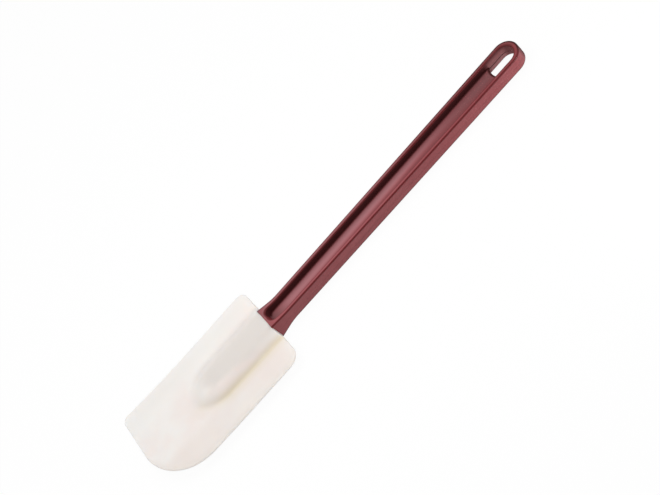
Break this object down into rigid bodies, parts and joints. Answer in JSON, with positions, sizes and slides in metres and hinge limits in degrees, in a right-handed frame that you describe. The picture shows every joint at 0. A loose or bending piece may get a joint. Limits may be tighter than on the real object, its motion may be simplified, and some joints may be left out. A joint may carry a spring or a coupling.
{
  "type": "plate scraper",
  "caption": "Long hand scraper: a straight channelled handle with a hanging slot, moulded into a wide flexible blade that has one large rounded corner.",
  "frame": {"origin": "centre of the bounding box in X and Y, on the ground plane that the boss's back face rests on", "axes": "+X along the handle from the blade to the hanging slot, +Y across the blade towards its square far corner, +Z out of the front face"},
  "size_m": [0.3432, 0.0734, 0.0143],
  "materials": {
    "nylon": "satin moulded plastic, dark maroon",
    "silicone": "soft satin silicone rubber, ivory white"
  },
  "bodies": {
    "root": {"handle": "nylon", "blade": "silicone"}
  },
  "joints": []
}
